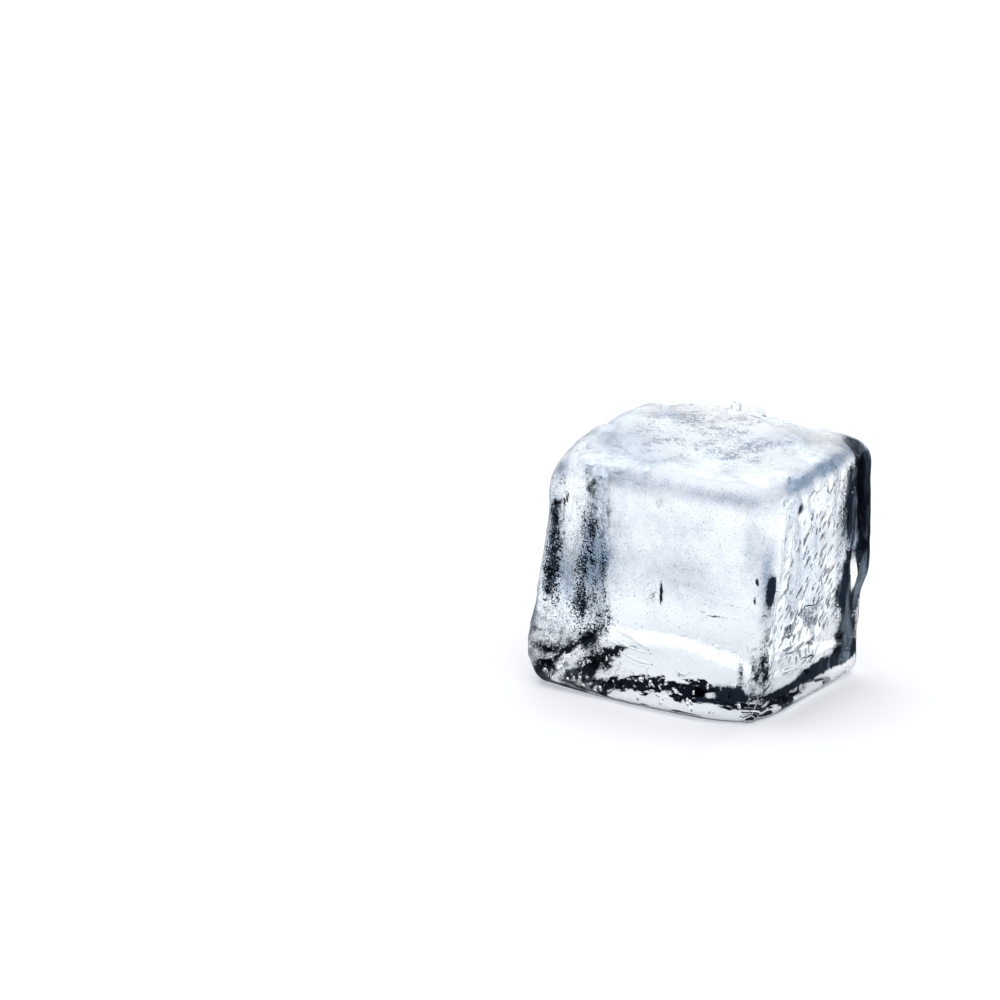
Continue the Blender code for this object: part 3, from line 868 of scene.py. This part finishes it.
# For each side: the way in, the way along and the way up
sides = {
    "front": (Vector((0, 1, 0)), Vector((1, 0, 0)), Vector((0, 0, 1))),
    "back": (Vector((0, -1, 0)), Vector((1, 0, 0)), Vector((0, 0, 1))),
    "right": (Vector((-1, 0, 0)), Vector((0, 1, 0)), Vector((0, 0, 1))),
    "left": (Vector((1, 0, 0)), Vector((0, 1, 0)), Vector((0, 0, 1))),
    "top": (Vector((0, 0, -1)), Vector((1, 0, 0)), Vector((0, 1, 0))),
}


def hollowShape():
    mesh = bmesh.new()
    bmesh.ops.create_icosphere(mesh, subdivisions=1, radius=1.0)
    points = np.array([vertex.co for vertex in mesh.verts])
    faces = [[vertex.index for vertex in face.verts][::-1] for face in mesh.faces]
    mesh.free()
    return points, faces


def hairMiddles(skin, side, stops):
    # points along a hair crack, just under the skin
    inwards, acrossWay, upWay = sides[side]
    stops = np.array(stops) * mm
    shares = np.linspace(0, len(stops) - 1, hairShape["steps"])
    across = np.interp(shares, range(len(stops)), stops[:, 0])
    heights = np.interp(shares, range(len(stops)), stops[:, 1])
    middles = []
    for x, z in zip(across, heights):
        hit = skin.ray_cast(acrossWay * x + upWay * z - inwards * airLook["startAway"], inwards)[0]
        middles.append(np.array(hit + inwards * hairShape["depth"]))
    middles = np.array(middles)
    for _ in range(hairShape["smoothings"]):
        middles[1:-1] = (middles[:-2] + 2 * middles[1:-1] + middles[2:]) / 4
    return middles


def hairTube(skin, side, stops, thickness):
    # a tapered tube just under one side, its faces pointing inwards
    steps, around = hairShape["steps"], hairShape["around"]
    middles = hairMiddles(skin, side, stops)
    ways = np.gradient(middles, axis=0)
    ways /= np.linalg.norm(ways, axis=1)[:, None]
    sideWays = np.cross(ways, np.array(sides[side][0]))
    sideWays /= np.linalg.norm(sideWays, axis=1)[:, None]
    inWays = np.cross(ways, sideWays)
    points = []
    for step, (middle, sideWay, inWay) in enumerate(zip(middles, sideWays, inWays)):
        radius = thickness * mm * math.sin(math.pi * (step + 0.5) / steps) ** 0.5
        for turn in range(around):
            angle = 2 * math.pi * turn / around
            points.append(middle + radius * (math.cos(angle) * sideWay + math.sin(angle) * inWay))
    faces = []
    for step in range(steps - 1):
        for turn in range(around):
            a, b = step * around + turn, step * around + (turn + 1) % around
            faces.append([a, b, b + around, a + around])
    faces.append(list(range(around))[::-1])
    faces.append([(steps - 1) * around + turn for turn in range(around)])
    return np.array(points), faces


def hollowPoints(skin, pick, shape, side, along, up, length, width, depth, lean):
    # one hollow's points, or None where the skin turns away from that side
    inwards, acrossWay, upWay = sides[side]
    place = acrossWay * pick.uniform(*along) * mm + upWay * pick.uniform(*up) * mm
    hit, normal, _, _ = skin.ray_cast(place - inwards * airLook["startAway"], inwards)
    halfLength = pick.uniform(*length) * mm / 2
    halfWidth = pick.uniform(*width) * mm / 2
    sunk = halfWidth + (airLook["gap"] + pick.uniform(*depth)) * mm
    turn = math.radians(lean[0] + pick.normal() * lean[1] / 2)
    if hit is None or normal.dot(inwards) > -airLook["leastFacing"]:
        return None
    longWay = upWay * math.cos(turn) + acrossWay * math.sin(turn)
    longWay = (longWay - normal * longWay.dot(normal)).normalized()
    shortWay = longWay.cross(normal)
    wobble = 1 + airLook["wobble"] * pick.normal(size=(len(shape), 1))
    local = shape * wobble * np.array([halfWidth, halfWidth, halfLength])
    turned = local @ np.array([shortWay, normal, longWay])
    return turned + np.array(hit - normal * sunk)


def makeAirMaterial():
    material = bpy.data.materials.new("trappedAir")
    material.use_nodes = True
    shader = material.node_tree.nodes["Principled BSDF"]
    shader.inputs["Base Color"].default_value = iceLook["colour"]
    shader.inputs["Roughness"].default_value = airLook["roughness"]
    setClear(shader)
    return material


def makeTrappedAir(block):
    skin = BVHTree.FromObject(block, bpy.context.evaluated_depsgraph_get())
    shape, shapeFaces = hollowShape()
    pick = np.random.default_rng(airLook["seed"])
    hollows = []
    for side, count, *family in airFamilies.values():
        for _ in range(count):
            points = hollowPoints(skin, pick, shape, side, *family)
            if points is not None:
                hollows.append((points, shapeFaces))
    for side, cracks in (("front", hairs), ("right", sideHairs)):
        for *stops, thickness in cracks:
            hollows.append(hairTube(skin, side, stops, thickness))
    allPoints, allFaces = [], []
    for points, faces in hollows:
        allFaces += [[index + len(allPoints) for index in face] for face in faces]
        allPoints += points.tolist()
    data = bpy.data.meshes.new("trappedAir")
    data.from_pydata(allPoints, [], allFaces)
    data.shade_smooth()
    data.materials.append(makeAirMaterial())
    air = bpy.data.objects.new("trappedAir", data)
    bpy.context.scene.collection.objects.link(air)
    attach(air, "root")
    return air


air = makeTrappedAir(block)
print("stage 3: trapped air made,", len(air.data.polygons), "faces")


# Floor, light and camera

floorLook = {"size": 3.0, "colour": (0.93, 0.94, 0.96, 1.0), "roughness": 0.35, "height": -0.00005}


def makeFloor():
    bpy.ops.mesh.primitive_plane_add(size=floorLook["size"], location=(0, 0, floorLook["height"]))
    floor = bpy.context.object
    floor.name = "paleFloor"
    material = bpy.data.materials.new("paleFloor")
    material.use_nodes = True
    shader = material.node_tree.nodes["Principled BSDF"]
    shader.inputs["Base Color"].default_value = floorLook["colour"]
    shader.inputs["Roughness"].default_value = floorLook["roughness"]
    shader.inputs["Specular IOR Level"].default_value = 0.0
    floor.data.materials.append(material)


makeFloor()

def makeGlow(name, colour, strength, specular):
    # a plain glowing material that lights nothing by itself
    material = bpy.data.materials.new(name)
    material.use_nodes = True
    shader = material.node_tree.nodes["Principled BSDF"]
    shader.inputs["Base Color"].default_value = (0.0, 0.0, 0.0, 1.0)
    shader.inputs["Specular IOR Level"].default_value = specular
    shader.inputs["Emission Color"].default_value = colour
    shader.inputs["Emission Strength"].default_value = strength
    material.cycles.emission_sampling = "NONE"
    return material


# A dark screen stands round the block and shows only in its outer reflections
screenLook = {
    "distance": 27.0 * mm,
    "height": 34.0 * mm,
    "floorHeight": -0.02 * mm,
    "corners": 64,
    "shade": (0.05, 0.06, 0.08, 1.0),
    "strength": 1.0,
    "specular": 0.0,
}


def makeScreen():
    mesh = bmesh.new()
    corners, distance = screenLook["corners"], screenLook["distance"]
    bmesh.ops.create_circle(mesh, cap_ends=True, segments=corners, radius=distance)
    walls = bmesh.ops.extrude_edge_only(mesh, edges=mesh.edges)
    for vertex in mesh.verts:
        vertex.co.z = screenLook["floorHeight"]
    for part in walls["geom"]:
        if isinstance(part, bmesh.types.BMVert):
            part.co.z = screenLook["height"]
    data = bpy.data.meshes.new("darkScreen")
    mesh.to_mesh(data)
    mesh.free()
    shade, strength, specular = screenLook["shade"], screenLook["strength"], screenLook["specular"]
    data.materials.append(makeGlow("darkScreen", shade, strength, specular))
    screen = bpy.data.objects.new("darkScreen", data)
    bpy.context.scene.collection.objects.link(screen)
    screen.visible_camera = False
    screen.visible_diffuse = False
    screen.visible_transmission = False
    screen.visible_shadow = False


makeScreen()

# A light card under the block, which shows only through the ice
underLook = {
    "width": 40.0 * mm,
    "depth": 34.0 * mm,
    "height": -0.00003,
    "colour": (0.94, 0.97, 1.0, 1.0),
    "strength": 1.7,
    "specular": 0.5,
}


def makeUnderLight():
    bpy.ops.mesh.primitive_plane_add(size=1, location=(0, 0, underLook["height"]))
    card = bpy.context.object
    card.name = "underLight"
    card.scale = (underLook["width"], underLook["depth"], 1)
    colour, strength, specular = underLook["colour"], underLook["strength"], underLook["specular"]
    card.data.materials.append(makeGlow("underLight", colour, strength, specular))
    card.visible_camera = False
    card.visible_diffuse = False
    card.visible_glossy = False
    card.visible_shadow = False


makeUnderLight()

# The light tent: a wide soft light overhead, with dark walls under it. Heights are the sine of the elevation
tentLook = {
    "bright": (1.0, 1.0, 1.0, 1.0),
    "dark": (0.003, 0.004, 0.007, 1.0),
    "strength": 2.0,
    "wallTop": 0.62,
    "wallSoftness": 0.10,
}


def makeTent():
    world = bpy.data.worlds.new("lightTent")
    bpy.context.scene.world = world
    world.use_nodes = True
    nodes = world.node_tree.nodes
    links = world.node_tree.links
    background = nodes["Background"]
    desk = NodeDesk(world.node_tree)
    split = nodes.new("ShaderNodeSeparateXYZ")
    links.new(nodes.new("ShaderNodeTexCoord").outputs["Generated"], split.inputs[0])
    wallTop, softness = tentLook["wallTop"], tentLook["wallSoftness"]
    overhead = desk.span(split.outputs["Z"], wallTop - softness, wallTop + softness)
    desk.put(background.inputs["Color"], desk.mix(overhead, tentLook["dark"], tentLook["bright"]))
    background.inputs["Strength"].default_value = tentLook["strength"]
    world.cycles.sampling_method = "NONE"


makeTent()

cameraPlace = {
    "azimuth": 33.0,
    "elevation": 18.5,
    "distance": 437.7 * mm,
    "across": 25.08 * mm,
    "up": -22.77 * mm,
    "lens": 122.4,
    "sensorWidth": 36.0,
    "nearest": 10 * mm,
    "farthest": 20.0,
}


def makeCamera():
    azimuth = math.radians(cameraPlace["azimuth"])
    elevation = math.radians(cameraPlace["elevation"])
    back = Vector((
        math.sin(azimuth) * math.cos(elevation),
        -math.cos(azimuth) * math.cos(elevation),
        math.sin(elevation),
    ))
    right = Vector((math.cos(azimuth), math.sin(azimuth), 0.0))
    up = back.cross(right)
    data = bpy.data.cameras.new("camera")
    data.lens = cameraPlace["lens"]
    data.sensor_width = cameraPlace["sensorWidth"]
    data.clip_start = cameraPlace["nearest"]
    data.clip_end = cameraPlace["farthest"]
    camera = bpy.data.objects.new("camera", data)
    camera.location = back * cameraPlace["distance"] - right * cameraPlace["across"] - up * cameraPlace["up"]
    camera.rotation_mode = "QUATERNION"
    camera.rotation_quaternion = (-back).to_track_quat("-Z", "Y")
    bpy.context.scene.collection.objects.link(camera)
    bpy.context.scene.camera = camera


makeCamera()

# How often light may pass from ice to air and back
lightBounces = 24

scene = bpy.context.scene
scene.view_settings.view_transform = "Standard"
scene.cycles.max_bounces = lightBounces
scene.cycles.transmission_bounces = lightBounces
scene.cycles.use_denoising = True
print("stage 4: floor, light and camera set")
